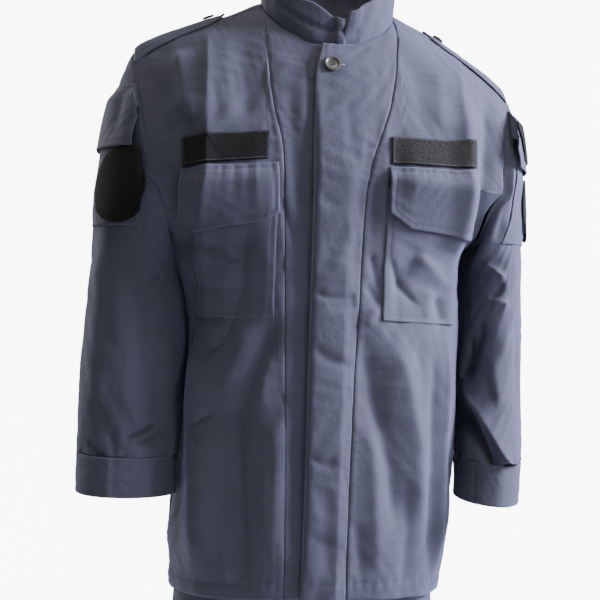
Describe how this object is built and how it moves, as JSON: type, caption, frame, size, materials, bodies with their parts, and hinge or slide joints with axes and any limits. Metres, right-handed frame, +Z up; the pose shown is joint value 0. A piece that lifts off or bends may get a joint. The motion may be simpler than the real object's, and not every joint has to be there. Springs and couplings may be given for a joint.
{
  "type": "field uniform",
  "caption": "Field uniform as worn: a long-sleeved coat with stand collar, fly front, chest and sleeve pockets, shoulder straps and loop patches, over plain straight trousers.",
  "frame": {"origin": "middle of the collar's base, level with the sides of the neck, where the wearer's neck and shoulders hold the coat", "axes": "+Z up the wearer, -Y out of the front, +X to the wearer's left"},
  "size_m": [0.5693, 0.2893, 1.4859],
  "materials": {
    "cloth": "matt plain weave",
    "loop_dark": "fuzzy loop tape",
    "loop_grey": "fuzzy loop tape",
    "button": "satin"
  },
  "bodies": {
    "root": {"front_left": "cloth", "front_right": "cloth", "front_side_left": "cloth", "front_side_right": "cloth", "back": "cloth", "collar": "cloth", "sleeve_front_left": "cloth", "sleeve_back_left": "cloth", "sleeve_front_right": "cloth", "sleeve_back_right": "cloth", "cuff_left": "cloth", "cuff_right": "cloth", "chest_pocket_left": "cloth", "chest_pocket_right": "cloth", "chest_flap_left": "cloth", "chest_flap_right": "cloth", "name_strip_left": "loop_grey", "name_strip_right": "loop_dark", "epaulette_left": "cloth", "epaulette_right": "cloth", "button_epaulette_left": "button", "button_epaulette_right": "button", "button_front": "button", "sleeve_pocket_left": "cloth", "sleeve_pocket_right": "cloth", "sleeve_flap_left": "cloth", "sleeve_flap_right": "cloth", "sleeve_patch_left": "loop_dark", "sleeve_patch_right": "loop_dark", "flap_patch_left": "loop_dark", "trouser_front_left": "cloth", "trouser_front_right": "cloth", "trouser_back_left": "cloth", "trouser_back_right": "cloth", "waistband": "cloth"}
  },
  "joints": []
}
